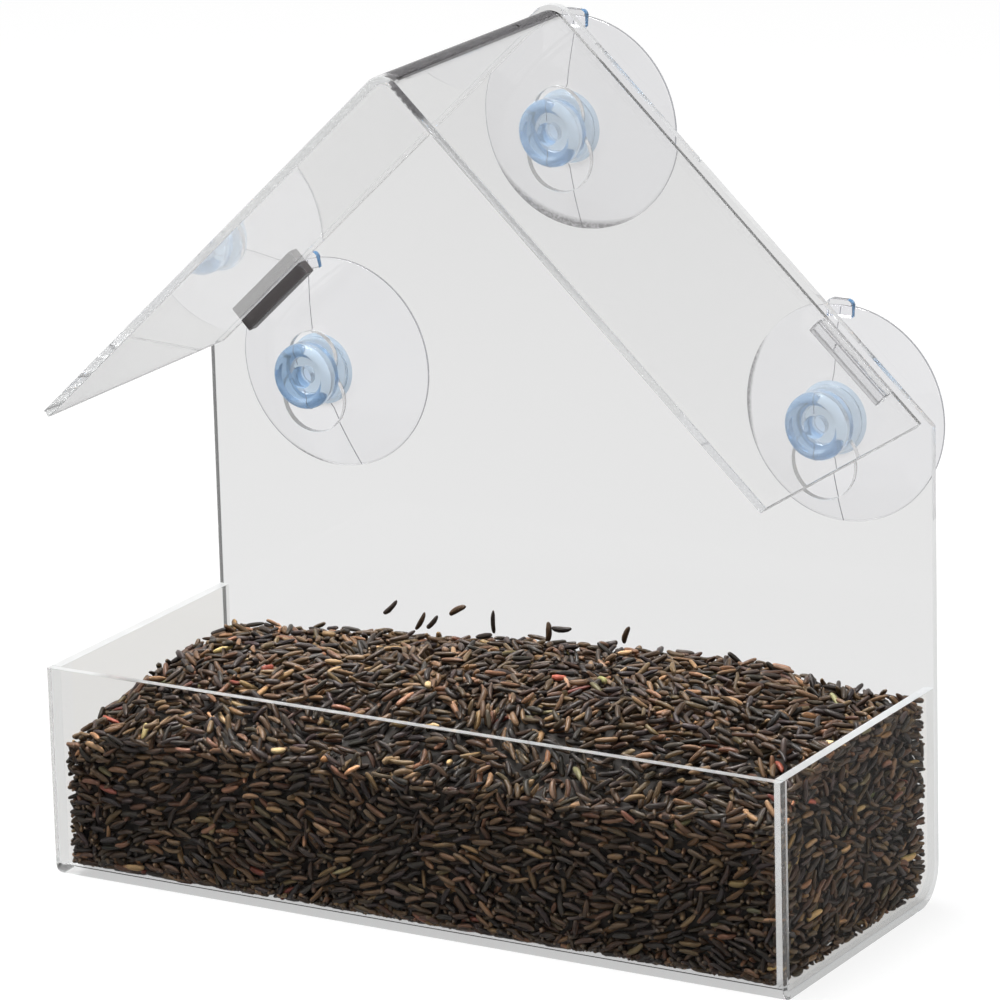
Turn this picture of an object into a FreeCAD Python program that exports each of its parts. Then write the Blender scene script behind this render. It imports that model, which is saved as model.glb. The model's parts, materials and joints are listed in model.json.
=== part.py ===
import FreeCAD, Part
import math
import os

from FreeCAD import Vector

# A clear window bird feeder. One bent acrylic sheet makes the house-shaped back, the floor and the front
# wall. Glued end panels close the tray, a bent roof is glued to the back, and three soft suction cups sit
# in keyholes. The origin is the centre of the floor's underside, +Z is up and the open front faces -Y.
# Sizes are millimetres.

# Acrylic sheet
SHEET = 1.5  # thickness of the bent sheets
END_SHEET = 2.0  # thickness of the end panels
FRONT_BEND_RADIUS = 1.2  # inside radius of the bend from the front wall to the floor
BACK_BEND_RADIUS = 5.5  # inside radius of the bend from the floor to the back panel
GLUE_LINE = 0.05  # cement film between glued pieces

# Body
WIDTH = 150.0
DEPTH = 60.0  # front wall's outer face to the back panel's outer face
WALL_HEIGHT = 40.0  # top of the front wall and of the end panels
SHOULDER_HEIGHT = 88.0  # where the back panel's upright sides end
GABLE_SLOPE = 43.5  # degrees from level
APEX_RADIUS = 5.0  # rounding of the gable's apex

# Roof
EAVE_INSET = 2.0  # from the body's side to the eave's upper corner
GABLE_LIP = 1.0  # how far the gable's edge stands above the roof's upper face
RIDGE_RADIUS = 2.5  # inside radius of the ridge bend

# Glue strips in the corner between the roof and the back panel
STRIP_SECTION = 2.6
STRIP_LENGTH = 18.0
STRIP_INSET = 12.0  # across, from the eave's upper corner to the strip's middle

# Suction cups
CUP_DIAMETER = 40.0
RIM_SETBACK = 8.1  # back panel's outer face to the rim's window edge
RIM_THICKNESS = 0.9
DISH_HOLLOW = 3.0  # how far the dish's middle stands off the window
BOSS_DIAMETER = 12.4
BOSS_LENGTH = 2.2
NECK_DIAMETER = 7.6
HEAD_DIAMETER = 12.4
HEAD_THICKNESS = 3.8
HEAD_ROUNDING = 1.6
PILOT_DIAMETER = 3.8  # blind hole in the head's front
PILOT_DEPTH = 4.4
TAB_WIDTH = 5.0  # pull tab on the rim
TAB_REACH = 1.2  # beyond the rim
TAB_ROOT = 2.0  # over the rim
TAB_THICKNESS = 1.6
TAB_ROUNDING = 1.0
CUP_PLAY = 0.3  # gap along the axis from the panel to the head, and to the boss

# Keyholes in the back panel: a small seat above, a waist, and a large entry below
SEAT_CLEARANCE = 1.2  # radial, neck in the seat
WAIST_CLEARANCE = 0.4  # each side, neck in the waist
ENTRY_CLEARANCE = 0.3  # radial, head through the entry
SIDE_SEAT_INSET = 22.0  # from the panel's side to a side seat's centre
SIDE_SEAT_DROP = 1.8  # a side seat's centre below the shoulders
TOP_SEAT_DROP = 22.6  # the top seat's centre below the point where the slopes would meet

# Where each cup rests: how far its axis is below the seat's centre, and how far its tab leans towards -X
TOP_CUP_DROP = 2.8
LEFT_CUP_DROP = 2.8
RIGHT_CUP_DROP = 0.4
LEFT_TAB_LEAN = 15.0  # degrees

# Seed heap, which slopes down from its crest to the front wall
SEED_CLEARANCE = 0.3  # to the acrylic all round
SEED_CROWN = 0.8  # rise of the heap's middle over the line from its crest to its back edge
HEAP_REACH = 16.0  # from the front wall back to the crest
# Share of the half width, then how far the front edge, the crest and the back edge lie below the wall's top
HEAP_STATIONS = (
    (-1.0, 15.0, 12.0, 8.0),
    (-0.89, 13.0, 6.5, 7.0),
    (-0.5, 11.0, 2.5, 5.0),
    (0.0, 11.0, 0.0, 1.5),
    (0.5, 11.0, -0.8, 0.0),
    (1.0, 9.0, 1.5, 3.0),
)

# Worked out from the sizes above
FRONT = -DEPTH / 2
BACK = DEPTH / 2
PANEL_FRONT = BACK - SHEET  # front face of the back panel
HALF_WIDTH = WIDTH / 2
SLOPE = math.radians(GABLE_SLOPE)
GABLE_PEAK = SHOULDER_HEIGHT + HALF_WIDTH * math.tan(SLOPE)  # before its apex is rounded
ROOF_PEAK = GABLE_PEAK - GABLE_LIP / math.cos(SLOPE)  # roof's upper face, before its bend is rounded
EAVE_X = HALF_WIDTH - EAVE_INSET
STRIP_X = EAVE_X - STRIP_INSET
SIDE_SEAT_X = HALF_WIDTH - SIDE_SEAT_INSET
SIDE_SEAT_HEIGHT = SHOULDER_HEIGHT - SIDE_SEAT_DROP
CUP_RADIUS = CUP_DIAMETER / 2
NECK_RADIUS = NECK_DIAMETER / 2
HEAD_RADIUS = HEAD_DIAMETER / 2
SEAT_RADIUS = NECK_RADIUS + SEAT_CLEARANCE
ENTRY_RADIUS = HEAD_RADIUS + ENTRY_CLEARANCE
WAIST_HALF = NECK_RADIUS + WAIST_CLEARANCE
SEAT_TO_WAIST = math.sqrt(SEAT_RADIUS**2 - WAIST_HALF**2)
WAIST_TO_ENTRY = math.sqrt(ENTRY_RADIUS**2 - WAIST_HALF**2)
SEAT_TO_ENTRY = SEAT_TO_WAIST + WAIST_TO_ENTRY

# Each keyhole's name, place across and seat height
KEYHOLES = {
    "top": (0.0, GABLE_PEAK - TOP_SEAT_DROP),
    "left": (-SIDE_SEAT_X, SIDE_SEAT_HEIGHT),
    "right": (SIDE_SEAT_X, SIDE_SEAT_HEIGHT),
}
# Each cup's drop below the seat and the lean of its tab
CUP_RESTS = {
    "top": (TOP_CUP_DROP, 0.0),
    "left": (LEFT_CUP_DROP, LEFT_TAB_LEAN),
    "right": (RIGHT_CUP_DROP, 0.0),
}


def outline(start, *steps):
    """A face bounded by edges from start through each step and back to start.
    A step is a point for a straight edge, or a pair of points for an arc through the first to the second."""
    edges = []
    here = start
    for step in steps:
        if isinstance(step, tuple):
            through, end = step
            edges.append(Part.Arc(here, through, end).toShape())
        else:
            end = step
            edges.append(Part.LineSegment(here, end).toShape())
        here = end
    edges.append(Part.LineSegment(here, start).toShape())
    return Part.Face(Part.Wire(edges))


def side_point(y, z, radius=0.0, degrees=0.0):
    """A point in the YZ plane, at a radius and an angle from (y, z)."""
    angle = math.radians(degrees)
    return Vector(0, y + radius * math.cos(angle), z + radius * math.sin(angle))


def side_arc(y, z, radius, first, last):
    """An arc step round (y, z) in the YZ plane, from the first angle to the last."""
    middle = side_point(y, z, radius, (first + last) / 2)
    return (middle, side_point(y, z, radius, last))


def mirrored(shape):
    """The shape's mirror image, left for right."""
    return shape.mirror(Vector(0, 0, 0), Vector(1, 0, 0))


def gable_point(x, below):
    """A point of the right slope: x across on the roof's upper face, then so far below it, square to it."""
    across = x - below * math.sin(SLOPE)
    height = ROOF_PEAK - x * math.tan(SLOPE) - below * math.cos(SLOPE)
    return Vector(across, 0, height)


def ridge_arc(peak, outer_radius, radius):
    """The start, middle and end of a rounded ridge, from right to left, under slopes that meet at peak."""
    centre = peak - outer_radius / math.cos(SLOPE)
    across = radius * math.sin(SLOPE)
    height = centre + radius * math.cos(SLOPE)
    return Vector(across, 0, height), Vector(0, 0, centre + radius), Vector(-across, 0, height)


def keyhole_cutter(across, seat_height):
    """A keyhole's prism through the back panel."""
    start = BACK - 2 * SHEET
    length = 3 * SHEET
    along = Vector(0, 1, 0)
    seat = Part.makeCylinder(SEAT_RADIUS, length, Vector(across, start, seat_height), along)
    entry_height = seat_height - SEAT_TO_ENTRY
    entry = Part.makeCylinder(ENTRY_RADIUS, length, Vector(across, start, entry_height), along)
    return seat.fuse(entry)


def body_sheet():
    """The bent sheet: front wall, floor and back panel, with the gable and the keyholes."""
    front_outer = FRONT_BEND_RADIUS + SHEET
    back_outer = BACK_BEND_RADIUS + SHEET
    front_y = FRONT + front_outer
    back_y = BACK - back_outer
    section = outline(
        side_point(FRONT, WALL_HEIGHT),
        side_point(FRONT, front_outer),
        side_arc(front_y, front_outer, front_outer, 180, 270),
        side_point(back_y, 0),
        side_arc(back_y, back_outer, back_outer, 270, 360),
        side_point(BACK, SHOULDER_HEIGHT),
        side_point(PANEL_FRONT, SHOULDER_HEIGHT),
        side_point(PANEL_FRONT, back_outer),
        side_arc(back_y, back_outer, BACK_BEND_RADIUS, 360, 270),
        side_point(front_y, SHEET),
        side_arc(front_y, front_outer, FRONT_BEND_RADIUS, 270, 180),
        side_point(FRONT + SHEET, WALL_HEIGHT),
    )
    section.translate(Vector(-HALF_WIDTH, 0, 0))
    bent = section.extrude(Vector(WIDTH, 0, 0))
    right, top, left = ridge_arc(GABLE_PEAK, APEX_RADIUS, APEX_RADIUS)
    gable = outline(
        Vector(-HALF_WIDTH, 0, SHOULDER_HEIGHT),
        Vector(HALF_WIDTH, 0, SHOULDER_HEIGHT),
        right,
        (top, left),
    )
    gable.translate(Vector(0, PANEL_FRONT, 0))
    sheet = bent.fuse(gable.extrude(Vector(0, SHEET, 0))).removeSplitter()
    for across, seat_height in KEYHOLES.values():
        sheet = sheet.cut(keyhole_cutter(across, seat_height))
    return sheet


def tray_section(gap, *top):
    """A section of the tray's inside, square to X, with a gap to the sheet.
    The steps of its top, from the back to the front, close it."""
    front = FRONT + SHEET + gap
    back = PANEL_FRONT - gap
    bottom = SHEET + gap
    front_corner = FRONT_BEND_RADIUS - gap
    back_corner = BACK_BEND_RADIUS - gap
    return outline(
        side_point(front, bottom + front_corner),
        side_arc(front + front_corner, bottom + front_corner, front_corner, 180, 270),
        side_point(back - back_corner, bottom),
        side_arc(back - back_corner, bottom + back_corner, back_corner, 270, 360),
        *top,
    )


def right_end_panel():
    """The flat end of the tray, glued between the front wall and the back panel and onto the floor."""
    panel = tray_section(
        GLUE_LINE,
        side_point(PANEL_FRONT - GLUE_LINE, WALL_HEIGHT),
        side_point(FRONT + SHEET + GLUE_LINE, WALL_HEIGHT),
    )
    panel.translate(Vector(HALF_WIDTH - END_SHEET, 0, 0))
    return panel.extrude(Vector(END_SHEET, 0, 0))


def roof_sheet():
    """The roof, bent at the ridge. Its back edge is glued to the back panel."""
    outer = RIDGE_RADIUS + SHEET
    upper_eave = gable_point(EAVE_X, 0)
    lower_eave = gable_point(EAVE_X, SHEET)
    right_out, top_out, left_out = ridge_arc(ROOF_PEAK, outer, outer)
    right_in, top_in, left_in = ridge_arc(ROOF_PEAK, outer, RIDGE_RADIUS)
    section = outline(
        lower_eave,
        upper_eave,
        right_out,
        (top_out, left_out),
        Vector(-upper_eave.x, 0, upper_eave.z),
        Vector(-lower_eave.x, 0, lower_eave.z),
        left_in,
        (top_in, right_in),
    )
    section.translate(Vector(0, FRONT, 0))
    return section.extrude(Vector(0, PANEL_FRONT - GLUE_LINE - FRONT, 0))


def right_roof_strip():
    """A small square bar glued under the right slope and against the back panel."""
    half_plan = STRIP_LENGTH / 2 * math.cos(SLOPE)
    upper_end = STRIP_X - half_plan
    lower_end = STRIP_X + half_plan
    top = SHEET + GLUE_LINE
    bottom = top + STRIP_SECTION
    section = outline(
        gable_point(upper_end, top),
        gable_point(lower_end, top),
        gable_point(lower_end, bottom),
        gable_point(upper_end, bottom),
    )
    section.translate(Vector(0, PANEL_FRONT - GLUE_LINE, 0))
    return section.extrude(Vector(0, -STRIP_SECTION, 0))


def cup_profile():
    """Half of a suction cup's section: X is the distance from its axis, Y runs from the panel's front face to
    the window."""
    head_back = -CUP_PLAY
    head_front = head_back - HEAD_THICKNESS
    boss_front = SHEET + CUP_PLAY
    boss_back = boss_front + BOSS_LENGTH
    rim_back = SHEET + RIM_SETBACK
    rim_front = rim_back - RIM_THICKNESS
    dish_middle = rim_back - DISH_HOLLOW
    turn = HEAD_ROUNDING * math.sqrt(0.5)
    flat = HEAD_RADIUS - HEAD_ROUNDING
    round_centre = head_front + HEAD_ROUNDING
    hollow_quarter = dish_middle + DISH_HOLLOW / 4
    return outline(
        Vector(0, head_front, 0),
        Vector(flat, head_front, 0),
        (Vector(flat + turn, round_centre - turn, 0), Vector(HEAD_RADIUS, round_centre, 0)),
        Vector(HEAD_RADIUS, head_back, 0),
        Vector(NECK_RADIUS, head_back, 0),
        Vector(NECK_RADIUS, boss_front, 0),
        Vector(BOSS_DIAMETER / 2, boss_front, 0),
        Vector(BOSS_DIAMETER / 2, boss_back, 0),
        Vector(CUP_RADIUS, rim_front, 0),
        Vector(CUP_RADIUS, rim_back, 0),
        (Vector(CUP_RADIUS / 2, hollow_quarter, 0), Vector(0, dish_middle, 0)),
    )


def pull_tab():
    """The tab on the top of a cup's rim, with its outer corners rounded, in the cup's own place."""
    half = TAB_WIDTH / 2
    top = CUP_RADIUS + TAB_REACH
    bottom = CUP_RADIUS - TAB_ROOT
    turn = TAB_ROUNDING * (1 - math.sqrt(0.5))
    tab = outline(
        Vector(-half, 0, bottom),
        Vector(half, 0, bottom),
        Vector(half, 0, top - TAB_ROUNDING),
        (Vector(half - turn, 0, top - turn), Vector(half - TAB_ROUNDING, 0, top)),
        Vector(TAB_ROUNDING - half, 0, top),
        (Vector(turn - half, 0, top - turn), Vector(-half, 0, top - TAB_ROUNDING)),
    )
    rim_middle = SHEET + RIM_SETBACK - RIM_THICKNESS / 2
    tab.translate(Vector(0, rim_middle, 0))
    return tab.extrude(Vector(0, -TAB_THICKNESS, 0))


def suction_cup(side):
    """One soft cup: head, neck, boss and dish in one moulding, with a blind pilot hole and a pull tab."""
    across, seat_height = KEYHOLES[side]
    drop, lean = CUP_RESTS[side]
    origin = Vector(0, 0, 0)
    along = Vector(0, 1, 0)
    cup = cup_profile().revolve(origin, along, 360)
    tab = pull_tab()
    tab.rotate(origin, along, -lean)
    head_front = -CUP_PLAY - HEAD_THICKNESS
    pilot = Part.makeCylinder(PILOT_DIAMETER / 2, PILOT_DEPTH, Vector(0, head_front, 0), along)
    cup = cup.fuse(tab).cut(pilot)
    cup.translate(Vector(across, PANEL_FRONT, seat_height - drop))
    return cup


def heap_section(share, front_drop, crest_drop, back_drop):
    """One section of the seed heap, square to X, as a wire."""
    inside = HALF_WIDTH - END_SHEET - SEED_CLEARANCE
    front = FRONT + SHEET + SEED_CLEARANCE
    back = PANEL_FRONT - SEED_CLEARANCE
    crest = front + HEAP_REACH
    crest_top = WALL_HEIGHT - crest_drop
    back_top = WALL_HEIGHT - back_drop
    crown = side_point((crest + back) / 2, (crest_top + back_top) / 2 + SEED_CROWN)
    section = tray_section(
        SEED_CLEARANCE,
        side_point(back, back_top),
        (crown, side_point(crest, crest_top)),
        side_point(front, WALL_HEIGHT - front_drop),
    )
    section.translate(Vector(share * inside, 0, 0))
    return section.OuterWire


def seed_fill():
    """The seed in the tray, heaped to the right, sloping down to the front wall and to the left end."""
    sections = [heap_section(*station) for station in HEAP_STATIONS]
    return Part.makeLoft(sections, True, True)


def whole_solid(shape):
    """The single solid of a shape."""
    (solid,) = shape.Solids
    return solid


def all_pieces():
    """Every piece by name."""
    pieces = {
        "body_sheet": body_sheet(),
        "right_end_panel": right_end_panel(),
        "roof_sheet": roof_sheet(),
        "right_roof_strip": right_roof_strip(),
        "seed_fill": seed_fill(),
    }
    pieces["left_end_panel"] = mirrored(pieces["right_end_panel"])
    pieces["left_roof_strip"] = mirrored(pieces["right_roof_strip"])
    for side in KEYHOLES:
        pieces[side + "_suction_cup"] = suction_cup(side)
    return pieces


os.makedirs("parts", exist_ok=True)
for name, shape in all_pieces().items():
    solid = whole_solid(shape)
    solid.exportStep("parts/" + name + ".step")
    print(name, "valid" if solid.isValid() else "NOT VALID", round(solid.Volume / 1000, 3), "cm3")
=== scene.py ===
import json
import math

import bmesh
import bpy
import numpy as np
from mathutils import Matrix, Vector
from mathutils.bvhtree import BVHTree
from mathutils.geometry import delaunay_2d_cdt


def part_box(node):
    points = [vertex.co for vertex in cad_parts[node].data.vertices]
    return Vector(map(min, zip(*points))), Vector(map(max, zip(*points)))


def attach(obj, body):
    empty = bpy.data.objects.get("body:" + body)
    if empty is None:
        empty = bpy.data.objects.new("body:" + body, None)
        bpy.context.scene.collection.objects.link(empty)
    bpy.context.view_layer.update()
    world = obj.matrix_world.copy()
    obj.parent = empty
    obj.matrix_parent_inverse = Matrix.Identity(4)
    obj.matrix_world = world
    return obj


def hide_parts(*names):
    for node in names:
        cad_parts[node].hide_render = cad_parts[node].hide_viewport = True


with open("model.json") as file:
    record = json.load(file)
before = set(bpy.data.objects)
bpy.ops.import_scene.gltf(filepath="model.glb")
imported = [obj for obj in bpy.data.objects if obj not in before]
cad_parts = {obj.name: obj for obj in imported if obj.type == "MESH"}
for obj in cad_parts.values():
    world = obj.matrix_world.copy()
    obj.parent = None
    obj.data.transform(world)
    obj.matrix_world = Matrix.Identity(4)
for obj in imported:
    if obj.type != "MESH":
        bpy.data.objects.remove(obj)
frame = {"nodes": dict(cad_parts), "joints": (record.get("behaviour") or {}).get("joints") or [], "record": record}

# A clear acrylic window bird feeder: bent and glued sheets, soft suction cups and a tray of slender seed.
# All lengths are metres, in the frame's own axes.

MM = 0.001
QUARTER = math.pi / 2
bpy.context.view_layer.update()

# Sizes read from the frame
BODY_LOW, BODY_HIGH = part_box("body_sheet")
PANEL_LOW, PANEL_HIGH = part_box("right_end_panel")
ROOF_LOW, ROOF_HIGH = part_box("roof_sheet")
SEED_LOW, SEED_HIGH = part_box("seed_fill")
MOUNTS = {mount["name"]: Vector(mount["pos_m"]) for mount in frame["record"]["mounts"]}
JOINTS = {joint["name"]: joint for joint in frame["joints"]}
SIDES = ("top", "left", "right")

# Acrylic sheet
SHEET = 1.5 * MM
END_SHEET = PANEL_HIGH.x - PANEL_LOW.x
FRONT = BODY_LOW.y
BACK = BODY_HIGH.y
PANEL_FRONT = BACK - SHEET
HALF_WIDTH = BODY_HIGH.x
INSIDE_X = PANEL_LOW.x
WALL_TOP = PANEL_HIGH.z
FRONT_BEND = 1.2 * MM  # inside radii of the bends
BACK_BEND = 5.5 * MM
RIDGE_BEND = 2.5 * MM
SHOULDER = 88.0 * MM
SLOPE = math.radians(43.5)
APEX_RADIUS = 5.0 * MM
EAVE_X = ROOF_HIGH.x
EDGE_BEVEL = 0.12 * MM
STRIP_BEVEL = 0.2 * MM
# The ridge bend's dark look is painted shade: a near-black tint on the clear bend, behind a clear front margin.
RIDGE_SHARE = 0.32  # of the ridge bend, each side of its middle, that looks dark
RIDGE_SETBACK = 2.5 * MM  # of that dark look from the roof's front edge
FACING = 0.8  # least share of a cut edge's normal that counts as facing up or left
POST_DEPTH = 3.6 * MM  # of the glued front of an end panel's inner face, which mirrors the light
# Slots of a sheet's faces; the left slot is for painted shade on cut edges that face left.
BROAD_SLOT, EDGE_SLOT, TOP_SLOT, ZONE_SLOT, HOLE_SLOT, BASE_SLOT, SHADED_LEFT_SLOT = range(7)
BEND_STEPS = 14
ARC_STEPS = 30
SHEET_SMOOTHING = math.radians(32.0)

# Keyholes
SEAT_RADIUS = 5.0 * MM
ENTRY_RADIUS = 6.5 * MM
WAIST_HALF = 4.2 * MM
NECK_RADIUS = 3.8 * MM
STOP_GAP = 0.3 * MM

# Suction cups
LATHE_STEPS = 96
DISH_STEPS = 24
TAB_LEAN = {"top": 0.0, "left": math.radians(15.0), "right": 0.0}
TAB_HALF = 2.5 * MM
TAB_LOW = 18.0 * MM  # from the cup's axis
TAB_HIGH = 21.2 * MM
TAB_ROUNDING = 1.0 * MM
TAB_THICKNESS = 1.6 * MM
TAB_BEVEL = 0.2 * MM
TAB_BACK = PANEL_FRONT + 9.15 * MM
SEAM_RADIUS = 0.08 * MM
SEAM_SIDES = 8
CUP_RADIUS = 20.0 * MM
# Painted reflections of the seed: a grainy grey crescent painted inside each cup's rim, where the rim mirrors the
# dark seed below.
PAINTED_REFLECTION_CRESCENTS = {"top": (195.0, 2.4), "left": (200.0, 0.5), "right": (275.0, 1.3)}  # degrees round, mm wide
CRESCENT_SHIFT = 8.0 * MM  # from a cup's axis to the middle of its crescent's inner edge
CRESCENT_DEPTH = PANEL_FRONT + 8.5 * MM
PAINTED_REFLECTION_GREY = (0.20, 0.195, 0.20)
HEAD_SLOT, DISH_SLOT, RIM_SLOT = range(3)
CUP_SMOOTHING = math.radians(40.0)

# Seed
SEED_LENGTH = (3.65 * MM, 0.45 * MM)  # mean and spread
SEED_RADIUS = (0.54 * MM, 0.06 * MM)
SEED_BOW = 0.35 * MM
SEED_KINDS = 14
SEED_SIDES = 6
SEED_STATIONS = np.array((0.0, 0.04, 0.14, 0.36, 0.62, 0.84, 0.95, 1.0))
SEED_TAPER = np.array((0.40, 0.66, 0.87, 1.0, 0.97, 0.80, 0.53, 0.24))
SEED_TIPS = (-0.512, 0.51)  # of a seed of length 1 about its middle
SEED_END = 0.42  # of a seed's length from its middle, where the walls hold it
SEED_END_RADIUS = 0.75  # of its radius
SEEDS_A_PIECE = 2000
WALL_GAP = 0.15 * MM
REACH = INSIDE_X - WALL_GAP
TRAY_FRONT = FRONT + SHEET
# The core is painted shade: a near-black mass that stands for the shade deep between the seeds.
CORE_INSET = 2.0 * MM  # how deep the separate seeds go before the dark core starts
CORNER_GAP = 2.1 * MM  # radius of the tray's front corner that the seeds leave partly open
CELL = 0.3 * MM  # grid on which the seeds settle
TRIES = 12  # places tried for each seed
STEEPEST = 0.9  # slope of a seed that lies on others
HUSK_COLOURS = (
    ((0.038, 0.028, 0.023), 0.33),
    ((0.058, 0.034, 0.019), 0.33),
    ((0.125, 0.075, 0.040), 0.21),
    ((0.230, 0.134, 0.067), 0.075),
    ((0.190, 0.096, 0.053), 0.042),
    ((0.420, 0.290, 0.140), 0.006),
    ((0.170, 0.148, 0.070), 0.004),
    ((0.200, 0.050, 0.032), 0.003),
)  # each with its share of the seeds
TIP_COLOUR = (0.24, 0.17, 0.11)
RIB_CONTRAST = 0.38
# Seeds that cling to the back panel: place across and up in millimetres, and turn from level in degrees
STRAY_SEEDS = (
    (-37.0, 40.2, 45.0),
    (-30.6, 38.4, 60.0),
    (-28.0, 38.5, 50.0),
    (-22.5, 41.8, 30.0),
    (-15.1, 40.4, 90.0),
    (-3.2, 40.1, 88.0),
    (-0.5, 40.9, 5.0),
    (12.9, 41.7, 70.0),
)
# Bits of other plants on the heap: place across and in depth in millimetres, turn in degrees, and colour
CRUMBS = (
    (-46.7, 21.3, 10.0, (0.42, 0.27, 0.14)),
    (-43.0, -5.8, 60.0, (0.24, 0.05, 0.03)),
    (13.8, 1.6, 20.0, (0.26, 0.06, 0.035)),
    (21.8, 3.1, 150.0, (0.38, 0.36, 0.13)),
    (-27.6, -27.2, 30.0, (0.50, 0.36, 0.18)),
    (-7.1, -9.1, 120.0, (0.48, 0.34, 0.17)),
    (-5.5, -25.8, 70.0, (0.40, 0.26, 0.13)),
    (-0.5, -18.6, 5.0, (0.48, 0.33, 0.16)),
    (-17.6, -27.2, 95.0, (0.34, 0.16, 0.06)),
)
CRUMB_SIZE = (2.6 * MM, 0.65 * MM)  # length and radius
RANDOM = np.random.default_rng(7)

# Camera, fitted to the photograph
CAMERA_AZIMUTH = math.radians(30.505)
CAMERA_ELEVATION = math.radians(16.226)
CAMERA_ROLL = math.radians(-1.52)
CAMERA_DISTANCE = 1164.35 * MM
CAMERA_TARGET = Vector((3.52, 0.0, 73.41)) * MM
CAMERA_LENS = 235.9  # millimetres on the sensor
SENSOR = 36.0

# Stage
WHITE = (1.0, 1.0, 1.0)
FLOOR_GREY = 0.16
FLOOR_RADIUS = 30.0
FLOOR_DROP = 0.05 * MM
FLOOR_GLOW = 0.88  # of the table seen straight
FLOOR_THROUGH_GLOW = 0.62  # seen through clear plastic
FLOOR_MIRROR_GLOW = (0.0, 0.50)  # seen in a reflection, before and behind the object
FLOOR_MIRROR_REACH = (-0.05, 0.15)  # between these depths the glow goes from the first to the second
BACKDROP_THROUGH = 0.77
BACKDROP_RISE = (0.28, 0.60)  # between these heights the backdrop goes from white to the ceiling's grey
MIRROR_CROSSINGS = 3.5  # of plastic surfaces, past which one reflection still counts as seen through
CEILING = 0.60
AMBIENT = 0.13
LIGHT_BOUNCES = 96
LAMPS = {
    "overhead": ((-0.25, 0.00, 1.00), 0.45, 12.5),
    "front_left": ((-0.80, -0.90, 0.70), 0.45, 1.2),
    "right": ((1.00, -0.10, 0.45), 0.50, 2.0),
}  # place, size and watts


def add_node(tree, kind, *ordered, operation=None, **named):
    """A shader node with its inputs set in order, or by name with spaces written as _. Each is a value, a
    socket, or a node that stands for its first output."""
    node = tree.nodes.new("ShaderNode" + kind)
    if operation:
        node.operation = operation
    spaced = {name.replace("_", " "): value for name, value in named.items()}
    for key, value in (*enumerate(ordered), *spaced.items()):
        if isinstance(value, bpy.types.Node):
            value = value.outputs[0]
        if isinstance(value, bpy.types.NodeSocket):
            tree.links.new(value, node.inputs[key])
        else:
            node.inputs[key].default_value = value
    return node


def emptied_tree(owner):
    """The node tree of a material or world, with no nodes in it."""
    owner.use_nodes = True
    owner.node_tree.nodes.clear()
    return owner.node_tree


def calculate(tree, operation, first, second):
    """The result of a math node on sockets or numbers."""
    return add_node(tree, "Math", first, second, operation=operation).outputs["Value"]


def place_of(tree):
    """The object coordinates of a surface."""
    return add_node(tree, "TexCoord").outputs["Object"]


def noise(tree, scale, detail=3.0):
    """Noise in object coordinates."""
    return add_node(tree, "TexNoise", Vector=place_of(tree), Scale=scale, Detail=detail)


def noise_bump(tree, scale, strength, distance):
    """A bump node fed by noise."""
    return add_node(tree, "Bump", Height=noise(tree, scale), Strength=strength, Distance=distance)


def colour_ramp(tree, share, first, second):
    """A ramp between two colours, and its stops."""
    ramp = add_node(tree, "ValToRGB", share)
    stops = ramp.color_ramp.elements
    stops[0].color = (*first, 1.0)
    stops[1].color = (*second, 1.0)
    return ramp, stops


def clear_material(name, tint, roughness, ior, bump, frost=0.0, shade=None):
    """Clear plastic that refracts, and lets the lamps' light through to what is behind it. Two faces of it
    dim light to the tint, frost is its milky share, and shade makes a colour that takes the tint's place."""
    made = bpy.data.materials.new(name)
    tree = emptied_tree(made)
    glass = add_node(tree, "BsdfPrincipled", Base_Color=(*tint, 1.0), Roughness=roughness, IOR=ior,
                     Transmission_Weight=1.0 - frost, Normal=noise_bump(tree, *bump))
    if shade:
        tree.links.new(shade(tree, tint), glass.inputs["Base Color"])
    one_face = [math.sqrt(share) for share in tint]
    through = add_node(tree, "BsdfTransparent", Color=(*one_face, 1.0))
    light = add_node(tree, "LightPath")
    mix = add_node(tree, "MixShader", light.outputs["Is Shadow Ray"], glass, through)
    add_node(tree, "OutputMaterial", Surface=mix)
    return made


def crescent(side):
    """The colour of a cup's dish: its tint, with a grainy grey crescent inside the rim, a painted reflection of
    the dark seed below.
    """
    way, width = PAINTED_REFLECTION_CRESCENTS[side]
    angle = math.radians(way)
    axis = MOUNTS[side + "_window_cup"]
    shift = CRESCENT_SHIFT * Vector((math.sin(angle), math.cos(angle)))
    middle = (axis.x - shift.x, CRESCENT_DEPTH, axis.z - shift.y)
    inner = CUP_RADIUS + CRESCENT_SHIFT - width * MM

    def shade(tree, tint):
        apart = add_node(tree, "VectorMath", place_of(tree), middle, operation="DISTANCE").outputs["Value"]
        depth = add_node(tree, "MapRange", apart, From_Min=inner, From_Max=inner + width * MM / 2)
        speckle = noise(tree, 2200.0, 2.0)
        grain = add_node(tree, "MapRange", speckle, From_Min=0.35, From_Max=0.65, To_Min=0.45)
        share = add_node(tree, "Math", depth, grain, operation="MULTIPLY")
        return colour_ramp(tree, share, tint, PAINTED_REFLECTION_GREY)[0].outputs["Color"]

    return shade


def seed_material():
    """Seed husk: its colour is stored on the mesh, with a fine mottle and a dull shine."""
    made = bpy.data.materials.new("seed_husk")
    tree = emptied_tree(made)
    colour = add_node(tree, "VertexColor")
    colour.layer_name = "husk"
    mottle = add_node(tree, "MapRange", noise(tree, 1400.0), To_Min=0.55, To_Max=1.45)
    shade = add_node(tree, "VectorMath", colour, mottle, operation="MULTIPLY")
    relief = noise_bump(tree, 2600.0, 0.35, 0.05 * MM)
    husk = add_node(tree, "BsdfPrincipled", Base_Color=shade, Roughness=0.40, IOR=1.36, Normal=relief)
    add_node(tree, "OutputMaterial", Surface=husk)
    return made


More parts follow.
